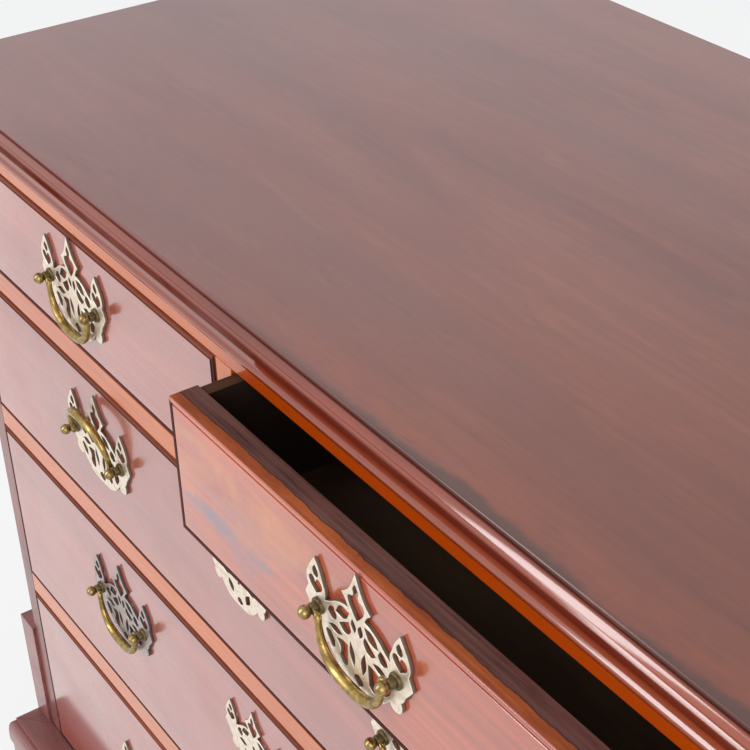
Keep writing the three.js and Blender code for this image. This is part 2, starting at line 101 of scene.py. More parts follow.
# Wood: patterns in a metre along and across the grain, and the noise values at which they start
FIGURE_GRAIN = (1.6, 11.0)
FIGURE_TONES = (0.32, 0.5, 0.7)
FINE_GRAIN = (4.0, 210.0)
TINT_SOFTNESS = 0.22
PORE_GRAIN = (55.0, 1500.0)
PORE_START = (0.6, 0.72)
PORE_SHARE = 0.35
PORE_DARKNESS = 0.4
WEAR_STRETCH = (9.0, 9.0, 9.0)
DIRT_AND_SHADE_DARKNESS = 0.6
DIRT_AND_SHADE_STRETCH = (14.0, 14.0, 14.0)
DIRT_AND_SHADE_UNEVEN = (0.3, 0.6, 0.8, 1.0)
GRAIN_BUMP = (0.15, 0.4 * MM)

# Top edges of the drawer fronts
SPLIT_STRETCH = (45.0, 45.0, 45.0)
SPLIT_WANDER = 0.06
SPLIT_HALF = 0.01
SPLIT_SEAM = (0.01, 0.04, 0.7, 0.0)
EDGE_GRAIN = (9.0, 420.0)
EDGE_BLOTCHES = (16.0, 80.0)
EDGE_GRAIN_START = (0.42, 0.62)
FACING_TONES = [(0.35, (0.3, 0.06, 0.017)), (0.6, (0.5, 0.122, 0.03))]
CORE_TONES = [(0.35, (0.06, 0.022, 0.019)), (0.65, (0.15, 0.055, 0.045))]
FACING_GRAIN = (0.2, 0.05, 0.02)
CORE_GRAIN = (0.17, 0.085, 0.07)
SPLIT_COLOUR = (0.025, 0.01, 0.008)
PINHOLE_SCALE = 55.0
PINHOLE_EDGE = (0.03, 0.06)
PINHOLE_COLOUR = (0.01, 0.005, 0.004)
EDGE_BUMP = (0.3, 0.5 * MM)

# Brass: patches of tarnish, fine specks, and a dull dark colour: grime in patches, painted shade on the plates' sides,
# and darker feet of the posts
TARNISH_SCALE = 220.0
TARNISH_START = (0.42, 0.66)
TARNISH_EVEN = (0.35, 0.65)
SPECK_SCALE = 1500.0
SPECK_BUMP = (0.25, 0.2 * MM)
GRIME_AND_SHADE_DARKNESS = 0.22
GRIME_AND_SHADE_METALLIC = 0.4
GRIME_AND_SHADE_ROUGHNESS = 0.6
SIDE_PAINTED_SHADE_ENDS = (0.15, 0.75)
SIDE_PAINTED_SHADE = 0.9
POST_FOOT_DARKENING_ENDS = (-12 * MM, -10 * MM)
POST_FOOT_DARKENING = 0.65
HANDLED_SCALE = 90.0
HANDLED_START = (0.55, 0.75)
HANDLED_GRIME = 0.5

# Figure of the open drawer's front. Soft patches: colour, seed and share, faded towards the right.
# Placed ones: colour, middle, half length and half height, and share.
FIGURE_PATCHES = (((0.3, 0.09, 0.09), 2.1, 0.6), ((0.62, 0.18, 0.03), 5.2, 0.4))
FIGURE_STRETCH = (9.0, 1.0, 22.0)
FIGURE_FADE = (0.12, 0.3, 1.0, 0.15)
FIGURE_START = (0.5, 0.64)
RAGGED_SCALE = 38.0
RAGGED_REACH = 0.7
RAGGED_EDGE = (0.3, 1.3)
BLUE_GREY = (0.13, 0.1, 0.17)
ORANGE = (0.66, 0.22, 0.03)
FIGURES = (
    (BLUE_GREY, (0.053, 0.0, 0.779), (0.026, 0.0105), 0.75),
    (BLUE_GREY, (0.113, 0.0, 0.778), (0.016, 0.0045), 0.6),
    (ORANGE, (0.13, 0.0, 0.815), (0.055, 0.014), 0.4),
    (ORANGE, (0.062, 0.0, 0.826), (0.03, 0.007), 0.35),
)

# Top: the course of the dark strip along its front edge, and two colours spread along X, a cool painted reflection at
# its left and painted shade at its right. Each of the two is a colour with the X at which it starts and ends, and its
# share at either.
STAIN_SETBACK = 5 * MM
STAIN_SPREAD = 7 * MM
STAIN_WANDER = 30 * MM
STAIN_FADE = 4 * MM
STAIN_SCALE = 9.0
STAIN_START = (0.0, 0.2)
STRIP_COLOUR = (0.07, 0.024, 0.018)
STRIP_SHARE = 0.85
GLOW_COLOUR = (0.29, 0.065, 0.025)
GLOW_SHARE = 0.5
GLOW_STRETCH = (30.0, 60.0, 1.0)
GLOW_START = (0.35, 0.6)
TOP_PAINTED_REFLECTION_LEFT = ((0.16, 0.056, 0.066), (-0.4, 0.3, 0.6, 0.0))
TOP_PAINTED_SHADE_RIGHT = ((0.1, 0.02, 0.011), (0.1, 0.46, 0.0, 0.55))

# Top rail, darker and redder at its right: painted shade, where the open drawer shades it and hides its pale reflection
RAIL_PAINTED_SHADE_RIGHT = ((0.45, 0.045, 0.002), (-0.02, 0.03, 0.0, 0.8))

# Heights below the top surface of parts of the top's moulding
OVOLO_MIDDLE = 5.7 * MM
OVOLO_SEAM = 6.6 * MM
OVOLO_REACH = (-4.5 * MM, 2.2 * MM)
OVOLO_FLATTENING = 9 * MM
HOLLOW = 18.5 * MM
HOLLOW_HALF = (8 * MM, 10.5 * MM)
SEAM_HALF = (0.15 * MM, 0.4 * MM)
SEAM_SHARE = 0.6
BEAD_MIDDLE = 36.4 * MM
BEAD_HALF = 4 * MM
BEAD_RADIUS = 6 * MM

# Pulls
PLATE_THICKNESS = 2.5 * MM
PLATE_EASE = 0.45 * MM
POST_SPACING = 76 * MM
COLLAR_RADIUS = 5.5 * MM
COLLAR_HEIGHT = 2.2 * MM
POST_RADIUS = 3.6 * MM
NECK_RADIUS = 2.7 * MM
BALL_RADIUS = 4.3 * MM
BALL_HEIGHT = 12.4 * MM
ORNAMENT_CURVE_STEPS = 6
ORNAMENT_EDGE_STEPS = 2
BALL_TURNS = 12
NECK_STEPS = ((0.0, 0.8 * MM), (0.3 * MM, 0.4 * MM))
COLLAR_STEPS = (0, 30, 60, 90)
LATHE_STEPS = 32
BAIL_HALF_WIDTH = 31.1 * MM
BAIL_DROP = 32 * MM
BAIL_SQUARENESS = 2.6
BAIL_END_RADIUS = 2.1 * MM
BAIL_MIDDLE_RADIUS = 3.8 * MM
PIN_RADIUS = 1.6 * MM
PIN_CORNER = 2.6 * MM
PIN_STEPS = (15, 40, 65)
PIN_SWELL = 1.15
HOOP_START_SHARE = 0.9
BAIL_STEPS = 64
BAIL_SIDES = 16
RAISED_BAIL_TURN = -170.0
DULL_PLATE = "pull_plate_third_left"

# Floor, sky and lamps; each lamp has a place, a target, a size and watts
LAMPS = {
    "key": ((-1.15, -2.95, 2.3), (0, -0.2, 0.6), (0.75, 3.2), 52),
    "fill": ((2.6, -1.6, 1.6), (0, -0.2, 0.5), (2.0, 2.0), 30),
    "rim": ((2.2, 2.0, 2.4), (0, 0, 0.8), (3.2, 2.6), 32),
}
SKY_COLOUR = (0.93, 0.96, 1.0)
SKY_STRENGTH = 0.65
WHITE = (1.0, 1.0, 1.0)
FLOOR_HALF = 12.0
FLOOR_GREY = (0.78, 0.78, 0.78)
FLOOR_GLOW_SEEN = 0.75

front_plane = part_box("top_rail")[0].y
top_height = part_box("top_board")[1].z


# Node trees
class Tree:
    """A material's node tree, with one call for each node."""

    def __init__(self, name):
        self.material = bpy.data.materials.new(name)
        self.material.use_nodes = True
        self.tree = self.material.node_tree
        self.tree.nodes.clear()
        self.output = self.tree.nodes.new("ShaderNodeOutputMaterial")

    def add(self, kind, inputs=None, **settings):
        node = self.tree.nodes.new(kind)
        for key, value in settings.items():
            setattr(node, key, value)
        for key, value in (inputs or {}).items():
            if isinstance(value, bpy.types.NodeSocket):
                self.tree.links.new(value, node.inputs[key])
            else:
                node.inputs[key].default_value = value
        return node

    def math(self, operation, first, second=0.0):
        return self.add("ShaderNodeMath", {0: first, 1: second}, operation=operation).outputs[0]

    def vector(self, operation, first, second=(0.0, 0.0, 0.0)):
        return self.add("ShaderNodeVectorMath", {0: first, 1: second}, operation=operation).outputs

    def point(self, space="Object"):
        return self.add("ShaderNodeTexCoord").outputs[space]

    def axis(self, letter, space="Object"):
        return self.add("ShaderNodeSeparateXYZ", {0: self.point(space)}).outputs[letter]

    def ramp(self, value, stops):
        """Colour for a value; each stop is a place from 0 to 1 and a colour."""
        node = self.add("ShaderNodeValToRGB", {"Fac": value})
        elements = node.color_ramp.elements
        while len(elements) < len(stops):
            elements.new(0.5)
        for element, (place, colour) in zip(elements, stops):
            element.position = place
            element.color = (*colour, 1.0)
        return node.outputs["Color"]

    def grey(self, value, low, high, bottom=0.0, top=1.0):
        """Maps low to high onto bottom to top, and holds it there beyond."""
        inputs = {"Value": value, 1: low, 2: high, 3: bottom, 4: top}
        return self.add("ShaderNodeMapRange", inputs).outputs[0]

    def mix(self, factor, first, second, blend="MIX"):
        node = self.add("ShaderNodeMix", data_type="RGBA", blend_type=blend)
        for socket, value in ((0, factor), (6, first), (7, second)):
            if isinstance(value, bpy.types.NodeSocket):
                self.tree.links.new(value, node.inputs[socket])
            else:
                node.inputs[socket].default_value = value if socket == 0 else (*value, 1.0)
        return node.outputs[2]

    def place(self, stretch=(1.0, 1.0, 1.0), wander=3.0):
        """Object coordinates, moved by a different amount on each piece, then stretched."""
        chance = self.add("ShaderNodeObjectInfo").outputs["Random"]
        shifts = {letter: self.math("MULTIPLY", chance, wander * share) for letter, share in SHIFTS}
        shift = self.add("ShaderNodeCombineXYZ", shifts)
        moved = self.vector("ADD", self.point(), shift.outputs[0])["Vector"]
        return self.vector("MULTIPLY", moved, stretch)["Vector"]

    def noise(self, vector, scale=1.0, detail=3.0, roughness=0.55, distortion=0.0):
        inputs = {"Vector": vector, "Scale": scale, "Detail": detail, "Roughness": roughness, "Distortion": distortion}
        return self.add("ShaderNodeTexNoise", inputs).outputs["Fac"]

    def bump(self, height, strength, distance, over=None):
        """Normal from a height; over is the normal that it adds to."""
        inputs = {"Height": height, "Strength": strength, "Distance": distance}
        if over:
            inputs["Normal"] = over
        return self.add("ShaderNodeBump", inputs).outputs[0]

    def colour_layer(self, colour, painted_layer):
        """Mixes in painted light, which is a colour and its spread along X."""
        tint, spread = painted_layer
        return self.mix(self.grey(self.axis("X"), *spread), colour, tint)

    def finish(self, shader):
        self.tree.links.new(shader.outputs[0], self.output.inputs["Surface"])
        return self.material


def stretched(along, lengthwise, across):
    """Noise scale that is lengthwise along one axis and across on the other two."""
    scale = [across] * 3
    scale[along] = lengthwise
    return tuple(scale)


# Wood
def wood(name, tones, along, polish=1.0, sheen=1.5, rough=(0.22, 0.42), streak=0.2, blur=0.1, haze=0.4, tints=(),
         colour_layer=None, grime_and_shade=None, swell=None):
    """Polished or bare wood whose grain runs along axis 0, 1 or 2.

    sheen is the refractive index of the polish, blur its roughness and haze the shine of the wood under it. Each tint
    is a colour, its patches' frequency along and across the grain, the noise value at which they start, and their
    share. colour_layer adds one more layer, grime_and_shade gives the share of a dull dark colour that stands for dirt
    and painted shade, and swell a height in metres.
    """
    tree = Tree(name)
    figure = tree.noise(tree.place(stretched(along, *FIGURE_GRAIN)), detail=4.0, distortion=1.1)
    colour = tree.ramp(figure, list(zip(FIGURE_TONES, tones)))
    fine = tree.noise(tree.place(stretched(along, *FINE_GRAIN)), detail=5.0, roughness=0.6)
    fine_shade = tree.grey(fine, *NOISE_RANGE, 1.0 - streak, 1.0)
    colour = tree.mix(1.0, colour, tree.ramp(fine_shade, [(0.0, (0, 0, 0)), (1.0, (1, 1, 1))]), "MULTIPLY")
    for number, (tint, length, width, reach, share) in enumerate(tints):
        patch = tree.noise(tree.place(stretched(along, length, width), wander=4.1 + number), distortion=0.8)
        colour = tree.mix(tree.grey(patch, reach, reach + TINT_SOFTNESS, 0.0, share), colour, tint)
    if colour_layer:
        colour = colour_layer(tree, colour)
    pores = tree.noise(tree.place(stretched(along, *PORE_GRAIN)), detail=2.0, roughness=0.4)
    pore_mask = tree.grey(pores, *PORE_START)
    dark = tones[0]
    colour = tree.mix(tree.math("MULTIPLY", pore_mask, PORE_SHARE), colour, tuple(PORE_DARKNESS * c for c in dark))
    wear = tree.noise(tree.place(WEAR_STRETCH), detail=4.0)
    # A dull dark colour without polish: dirt, and painted shade in the moulding's hollow
    if grime_and_shade:
        dirt_and_shade = grime_and_shade(tree)
        colour = tree.mix(dirt_and_shade, colour, tuple(DIRT_AND_SHADE_DARKNESS * c for c in dark))
        polish = tree.grey(dirt_and_shade, 0.0, 1.0, polish, 0.0)
    shape = tree.bump(swell(tree), 1.0, 1.0) if swell else None
    shader = tree.add("ShaderNodeBsdfPrincipled", {
        "Base Color": colour,
        "Roughness": tree.grey(wear, *NOISE_RANGE, *rough),
        "Specular IOR Level": haze,
        "Coat Weight": polish,
        "Coat Roughness": blur,
        "Coat IOR": sheen,
        "Normal": tree.bump(tree.math("SUBTRACT", fine, pore_mask), *GRAIN_BUMP, shape),
    })
    if swell:
        tree.tree.links.new(shape, shader.inputs["Coat Normal"])
    return tree.finish(shader)


def mahogany_show(along, name="mahogany_show", sheen=1.92):
    tones = ((0.3, 0.048, 0.031), (0.41, 0.074, 0.046), (0.51, 0.105, 0.067))
    tints = [((0.4, 0.13, 0.12), 2.0, 5.0, 0.46, 0.4)]
    return wood(f"{name}_{along}", tones, along, sheen=sheen, blur=0.12, tints=tints)


def mahogany_upper(along):
    """The brighter front of the upper left drawer."""
    return mahogany_show(along, "mahogany_upper", sheen=2.14)


def mahogany_figured(along):
    """The front of the open drawer, with orange and blue-grey figure at its left end."""
    tones = ((0.43, 0.062, 0.021), (0.56, 0.09, 0.029), (0.66, 0.125, 0.037))
    return wood(f"mahogany_figured_{along}", tones, along, sheen=1.85, streak=0.35, blur=0.12, haze=0.25,
                colour_layer=left_figure)


def left_figure(tree, colour):
    """Figure in the wood: soft patches everywhere, fewer towards the right, and four ragged ones in set places."""
    fade = tree.grey(tree.axis("X"), *FIGURE_FADE)
    for tint, wander, share in FIGURE_PATCHES:
        patch = tree.noise(tree.place(FIGURE_STRETCH, wander=wander), detail=4.0, distortion=1.0)
        mask = tree.math("MULTIPLY", tree.grey(patch, *FIGURE_START, 0.0, share), fade)
        colour = tree.mix(mask, colour, tint)
    ragged = tree.noise(tree.point(), scale=RAGGED_SCALE, detail=5.0)
    ragged = tree.grey(ragged, *NOISE_RANGE, -RAGGED_REACH, RAGGED_REACH)
    for tint, middle, half, share in FIGURES:
        shrink = (1 / half[0], 0.0, 1 / half[1])
        offset = tree.vector("SUBTRACT", tree.point(), middle)["Vector"]
        reach = tree.vector("LENGTH", tree.vector("MULTIPLY", offset, shrink)["Vector"])["Value"]
        colour = tree.mix(tree.grey(tree.math("ADD", reach, ragged), *RAGGED_EDGE, share, 0.0), colour, tint)
    return colour


# Painted shade darkens the moulding's hollow; dirt darkens the seam of its upper curve
def mahogany_moulding(along):
    tones = ((0.2, 0.03, 0.014), (0.29, 0.048, 0.02), (0.38, 0.075, 0.03))
    return wood(f"mahogany_moulding_{along}", tones, along, sheen=1.75, haze=0.0, grime_and_shade=hollow_shade_and_seam_dirt,
                swell=moulding_swell)


def hollow_shade_and_seam_dirt(tree):
    """Share of a dull dark colour: painted shade in the moulding's hollow, and dirt along the seam of its upper curve.
    """
    height = tree.math("SUBTRACT", tree.axis("Z"), top_height)
    hollow = tree.grey(tree.math("ABSOLUTE", tree.math("ADD", height, HOLLOW)), *HOLLOW_HALF, 1.0, 0.0)
    seam = tree.grey(tree.math("ABSOLUTE", tree.math("ADD", height, OVOLO_SEAM)), *SEAM_HALF, SEAM_SHARE, 0.0)
    uneven = tree.grey(tree.noise(tree.place(DIRT_AND_SHADE_STRETCH)), *DIRT_AND_SHADE_UNEVEN)
    return tree.math("MULTIPLY", tree.math("MAXIMUM", hollow, seam), uneven)


def moulding_swell(tree):
    """Height in metres that rounds the bead at the foot of the top's moulding and flattens the upper curve."""
    height = tree.math("SUBTRACT", tree.axis("Z"), top_height - BEAD_MIDDLE)
    bead = tree.math("MINIMUM", tree.math("ABSOLUTE", height), BEAD_HALF)
    height = tree.math("SUBTRACT", tree.axis("Z"), top_height - OVOLO_MIDDLE)
    ovolo = tree.math("MINIMUM", tree.math("MAXIMUM", height, OVOLO_REACH[0]), OVOLO_REACH[1])
    bead = tree.math("MULTIPLY", tree.math("MULTIPLY", bead, bead), -0.5 / BEAD_RADIUS)
    ovolo = tree.math("MULTIPLY", tree.math("MULTIPLY", ovolo, ovolo), 0.5 / OVOLO_FLATTENING)
    return tree.math("ADD", bead, ovolo)


def mahogany_base(along):
    tones = ((0.2, 0.07, 0.062), (0.28, 0.1, 0.09), (0.37, 0.14, 0.125))
    tints = [((0.07, 0.025, 0.022), 9.0, 60.0, 0.54, 0.6), ((0.3, 0.08, 0.05), 3.0, 14.0, 0.52, 0.5)]
    return wood(f"mahogany_base_{along}", tones, along, polish=0.5, sheen=1.4, blur=0.22, haze=0.15, tints=tints)


# Painted shade: the dark, unpolished bead on the bottom and sides of each drawer front, where its gaps fall into shade
def bead_painted_shade(along):
    tones = ((0.06, 0.017, 0.014), (0.085, 0.024, 0.02), (0.12, 0.036, 0.03))
    return wood(f"bead_painted_shade_{along}", tones, along, polish=0.0, rough=(0.6, 0.8), haze=0.1)


# Painted shade, less dark: the bead along the top of a closed drawer front, below the rail
def upper_bead_painted_shade(along):
    tones = ((0.16, 0.045, 0.03), (0.22, 0.06, 0.036), (0.28, 0.08, 0.045))
    return wood(f"mahogany_upper_bead_{along}", tones, along, polish=0.0, rough=(0.5, 0.7), haze=0.1)


def mahogany_top(along):
    tones = ((0.155, 0.036, 0.022), (0.225, 0.056, 0.033), (0.285, 0.079, 0.046))
    tints = [
        ((0.25, 0.065, 0.035), 3.5, 16.0, 0.48, 0.45),
        ((0.13, 0.058, 0.05), 1.6, 9.0, 0.5, 0.4),
        ((0.32, 0.1, 0.05), 11.0, 60.0, 0.55, 0.4),
        ((0.09, 0.03, 0.024), 1.3, 140.0, 0.62, 0.45),
    ]
    return wood(f"mahogany_top_{along}", tones, along, polish=0.7, sheen=1.43, rough=(0.36, 0.42), streak=0.15,
                blur=0.16, tints=tints, colour_layer=edge_stain_and_painted_light)


def edge_stain_and_painted_light(tree, colour):
    """The top is cooler at its left, a painted reflection, and darker at its right, painted shade, where a dark strip
    wanders along its front edge.
    """
    course = tree.noise(tree.point(), scale=STAIN_SCALE, detail=5.0, roughness=0.65)
    rise = tree.math("MULTIPLY", tree.math("MAXIMUM", tree.axis("X"), 0.0), STAIN_SPREAD)
    line = tree.math("ADD", rise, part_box("top_board")[0].y + STAIN_SETBACK - STAIN_WANDER / 2)
    line = tree.math("ADD", line, tree.math("MULTIPLY", course, STAIN_WANDER))
    behind = tree.math("SUBTRACT", tree.axis("Y"), line)
    strength = tree.grey(tree.axis("X"), *STAIN_START)
    # A cool painted reflection at the left, and painted shade at the right
    colour = tree.colour_layer(tree.colour_layer(colour, TOP_PAINTED_REFLECTION_LEFT), TOP_PAINTED_SHADE_RIGHT)
    dark = tree.grey(behind, -STAIN_FADE, 0.0, STRIP_SHARE, 0.0)
    glow = tree.math("ABSOLUTE", tree.math("SUBTRACT", behind, 2 * STAIN_FADE))
    glow = tree.grey(glow, 0.0, 4 * STAIN_FADE, GLOW_SHARE, 0.0)
    patches = tree.noise(tree.place(GLOW_STRETCH), detail=4.0)
    glow = tree.math("MULTIPLY", glow, tree.grey(patches, *GLOW_START))
    colour = tree.mix(tree.math("MULTIPLY", glow, strength), colour, GLOW_COLOUR)
    return tree.mix(tree.math("MULTIPLY", dark, strength), colour, STRIP_COLOUR)


def mahogany_rail(along, name="mahogany_rail", colour_layer=None):
    tones = ((0.56, 0.1, 0.002), (0.64, 0.125, 0.003), (0.72, 0.15, 0.005))
    return wood(f"{name}_{along}", tones, along, sheen=1.42, haze=0.15, colour_layer=colour_layer)


def mahogany_top_rail(along):
    # Painted shade: the rail's right part, behind the open drawer, is mixed towards a darker red
    return mahogany_rail(along, "mahogany_top_rail", lambda tree, colour: tree.colour_layer(colour, RAIL_PAINTED_SHADE_RIGHT))


def front_edge(along):
    """Top edge of a drawer front: a warm facing, a dark core with pinholes, and an uneven line between them."""
    tree = Tree(f"front_edge_{along}")
    wander = tree.noise(tree.place(SPLIT_STRETCH), detail=5.0)
    wander = tree.grey(wander, *NOISE_RANGE, -SPLIT_WANDER, SPLIT_WANDER)
    split = tree.math("SUBTRACT", tree.math("ADD", tree.axis("Y", "Generated"), wander), FACING_SHARE)
    core = tree.grey(split, -SPLIT_HALF, SPLIT_HALF)
    seam = tree.grey(tree.math("ABSOLUTE", split), *SPLIT_SEAM)
    grain = tree.noise(tree.place(stretched(along, *EDGE_GRAIN)), detail=5.0)
    blotch = tree.noise(tree.place(stretched(along, *EDGE_BLOTCHES)), detail=5.0, roughness=0.65)
    core_tone = tree.ramp(blotch, CORE_TONES)
    core_tone = tree.mix(tree.grey(grain, *EDGE_GRAIN_START, 0.0, 0.7), core_tone, CORE_GRAIN)
    facing_tone = tree.ramp(blotch, FACING_TONES)
    facing_tone = tree.mix(tree.grey(grain, *EDGE_GRAIN_START, 0.0, 0.4), facing_tone, FACING_GRAIN)
    colour = tree.mix(seam, tree.mix(core, facing_tone, core_tone), SPLIT_COLOUR)
    dots = tree.add("ShaderNodeTexVoronoi", {"Vector": tree.place(), "Scale": PINHOLE_SCALE})
    pinholes = tree.grey(dots.outputs["Distance"], *PINHOLE_EDGE, 1.0, 0.0)
    colour = tree.mix(pinholes, colour, PINHOLE_COLOUR)
    shader = tree.add("ShaderNodeBsdfPrincipled", {
        "Base Color": colour,
        "Roughness": tree.grey(blotch, *NOISE_RANGE, 0.4, 0.6),
        "Specular IOR Level": 0.25,
        "Normal": tree.bump(tree.math("SUBTRACT", grain, pinholes), *EDGE_BUMP),
    })
    return tree.finish(shader)


# Painted shade: the inside of the drawers, near-black
def drawer_lining(along):
    tones = ((0.012, 0.005, 0.003), (0.022, 0.009, 0.005), (0.04, 0.017, 0.01))
    return wood(f"drawer_lining_{along}", tones, along, polish=0.0, rough=(0.6, 0.8))


# The lit copy of the lining: lighter, on the faces of the drawer boxes that look up
def lining_lit_edge(along):
    tones = ((0.05, 0.02, 0.008), (0.09, 0.038, 0.014), (0.15, 0.06, 0.02))
    return wood(f"lining_lit_edge_{along}", tones, along, polish=0.0, rough=(0.6, 0.8), streak=0.5)


def plain_softwood(along):
    tones = ((0.06, 0.03, 0.015), (0.1, 0.052, 0.026), (0.15, 0.085, 0.045))
    tints = [((0.19, 0.105, 0.06), 2.0, 5.0, 0.45, 0.4)]
    return wood(f"plain_softwood_{along}", tones, along, polish=0.0, rough=(0.55, 0.8), tints=tints)


# Brass
def brass(name, clean, tarnish, amount, rough, darkening):
    """Cast brass; darkening(tree) gives the share, 0 to 1, of a dull dark colour: painted shade on a plate's sides, a
    darker foot on a post, grime in patches on a bail.
    """
    tree = Tree(name)
    patches = tree.noise(tree.place(), scale=TARNISH_SCALE, detail=5.0, roughness=0.65)
    specks = tree.noise(tree.place(), scale=SPECK_SCALE, detail=3.0)
    colour = tree.mix(tree.grey(patches, *TARNISH_START, 0.0, amount), clean, tarnish)
    grime_and_shade = darkening(tree)
    colour = tree.mix(grime_and_shade, colour, tuple(GRIME_AND_SHADE_DARKNESS * c for c in tarnish))
    roughness = tree.grey(patches, *TARNISH_EVEN, *rough)
    shader = tree.add("ShaderNodeBsdfPrincipled", {
        "Base Color": colour,
        "Metallic": tree.grey(grime_and_shade, 0.0, 1.0, 1.0, GRIME_AND_SHADE_METALLIC),
        "Roughness": tree.math("MAXIMUM", roughness, tree.math("MULTIPLY", grime_and_shade, GRIME_AND_SHADE_ROUGHNESS)),
        "Normal": tree.bump(specks, *SPECK_BUMP),
    })
    return tree.finish(shader)


def side_painted_shade(tree):
    """Painted shade: full on the sides of a flat plate, none on its face."""
    facing = tree.math("ABSOLUTE", tree.axis("Y", "Normal"))
    return tree.grey(facing, *SIDE_PAINTED_SHADE_ENDS, SIDE_PAINTED_SHADE, 0.0)


def post_foot_darkening(tree):
    """Full at the foot of a post, none on its ball."""
    return tree.grey(tree.axis("Y"), *POST_FOOT_DARKENING_ENDS, 0.0, POST_FOOT_DARKENING)


def patch_grime(tree):
    """In patches, as on a handled bail."""
    patches = tree.noise(tree.place(), scale=HANDLED_SCALE, detail=4.0)
    return tree.grey(patches, *HANDLED_START, 0.0, HANDLED_GRIME)


def plate_brass(name="brass_plate", clean=(0.88, 0.78, 0.66), tarnish=(0.52, 0.4, 0.28)):
    return brass(name, clean, tarnish, amount=0.55, rough=(0.35, 0.55), darkening=side_painted_shade)


def dull_brass():
    return plate_brass("brass_plate_dull", clean=(0.5, 0.44, 0.42), tarnish=(0.3, 0.25, 0.24))


def post_brass():
    clean, tarnish = (0.36, 0.25, 0.1), (0.1, 0.068, 0.025)
    return brass("brass_post", clean, tarnish, amount=0.8, rough=(0.2, 0.38), darkening=post_foot_darkening)


def bail_brass():
    clean, tarnish = (0.42, 0.29, 0.1), (0.13, 0.085, 0.026)
    return brass("brass_bail", clean, tarnish, amount=0.8, rough=(0.22, 0.4), darkening=patch_grime)


WOODS = {
    "mahogany_show": mahogany_show,
    "mahogany_upper": mahogany_upper,
    "mahogany_figured": mahogany_figured,
    "mahogany_moulding": mahogany_moulding,
    "mahogany_base": mahogany_base,
    "bead_painted_shade": bead_painted_shade,
    "upper_bead_painted_shade": upper_bead_painted_shade,
    "mahogany_top": mahogany_top,
    "mahogany_rail": mahogany_rail,
    "mahogany_top_rail": mahogany_top_rail,
    "front_edge": front_edge,
    "drawer_lining": drawer_lining,
    "lining_lit_edge": lining_lit_edge,
    "plain_softwood": plain_softwood,
}
# Each kind of wood, made once for each direction of its grain
wood_cache = {}


def wood_for(kind, along):
    if (kind, along) not in wood_cache:
        wood_cache[kind, along] = WOODS[kind](along)
    return wood_cache[kind, along]


# Pieces
def add_piece(name, mesh, node):
    """A visible piece that stands for a node and rides with it."""
    piece = linked(bpy.data.objects.new(name, mesh))
    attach(piece, body_of_node[node])
    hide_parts(node)
    return piece


def linked(thing):
    bpy.context.scene.collection.objects.link(thing)
    return thing


def smooth_by_angle(mesh, degrees):
    """Shades gentle turns smooth, and keeps broad faces level up to their rounded edges."""
    for polygon in mesh.polygons:
        polygon.use_smooth = True
    mesh.set_sharp_from_angle(angle=math.radians(degrees))
    for polygon in mesh.polygons:
        ends = zip(polygon.vertices, [*polygon.vertices[1:], polygon.vertices[0]])
        perimeter = sum((mesh.vertices[i].co - mesh.vertices[j].co).length for i, j in ends)
        if 2 * polygon.area / perimeter > BROAD_WIDTH or abs(polygon.normal.y) > LEVEL_COSINE:
            polygon.use_smooth = False


def finished_mesh(name, bm, degrees):
    """Turns a bmesh into a shaded mesh, with its faces outwards."""
    bmesh.ops.recalc_face_normals(bm, faces=bm.faces)
    mesh = bpy.data.meshes.new(name)
    bm.to_mesh(mesh)
    bm.free()
    smooth_by_angle(mesh, degrees)
    return mesh


def eased_mesh(name, bm, ease):
    """Rounds every edge that turns sharply, and shades the rest smooth."""
    bmesh.ops.remove_doubles(bm, verts=bm.verts, dist=MERGE_DISTANCE)
    bmesh.ops.dissolve_limit(bm, angle_limit=math.radians(FLAT_DEGREES), verts=bm.verts, edges=bm.edges)
    sharp = [e for e in bm.edges if e.is_manifold and e.calc_face_angle() > math.radians(SHARP_DEGREES)]
    bmesh.ops.bevel(bm, geom=sharp, offset=ease, segments=EASE_SEGMENTS, profile=EASE_PROFILE, affect="EDGES",
                    clamp_overlap=True)
    return finished_mesh(name, bm, WOOD_SMOOTH_DEGREES)


def eased_node(node, kind, along, ease=BOARD_EASE, upper=None):
    """A finer copy of a board or moulding, with worn edges; upper is the wood of the faces that look up."""
    bm = bmesh.new()
    bm.from_mesh(nodes[node].data)
    mesh = eased_mesh(node + "_eased", bm, ease)
    mesh.materials.append(wood_for(kind, along))
    if upper:
        mesh.materials.append(wood_for(upper, along))
        for polygon in mesh.polygons:
            polygon.material_index = 1 if polygon.normal.z > LOOKS_UP else 0
    add_piece(node + "_fine", mesh, node)


# Drawer fronts
def ring_slab(low, high, rings):
    """A slab whose face is a set of mitred rings, each an inset from the edge and a height over the face.

    Its edges and back get the second material, the rings the third, and the rings along the upper edge the fourth.
    """
    bm = bmesh.new()
    loops = []
    for inset, rise in rings:
        corners = [(low.x + inset, low.z + inset), (high.x - inset, low.z + inset),
                   (high.x - inset, high.z - inset), (low.x + inset, high.z - inset)]
        loops.append([bm.verts.new((x, low.y - rise, z)) for x, z in corners])
    back = [bm.verts.new((v.co.x, high.y, v.co.z)) for v in loops[0]]
    loops.insert(0, back)
    for number, (first, second) in enumerate(zip(loops, loops[1:])):
        for i in range(4):
            j = (i + 1) % 4
            face = bm.faces.new((first[i], first[j], second[j], second[i]))
            face.material_index = 1 if number == 0 else 3 if i == 2 else 2
    bm.faces.new(loops[-1])
    bm.faces.new(back[::-1]).material_index = 1
    return bm


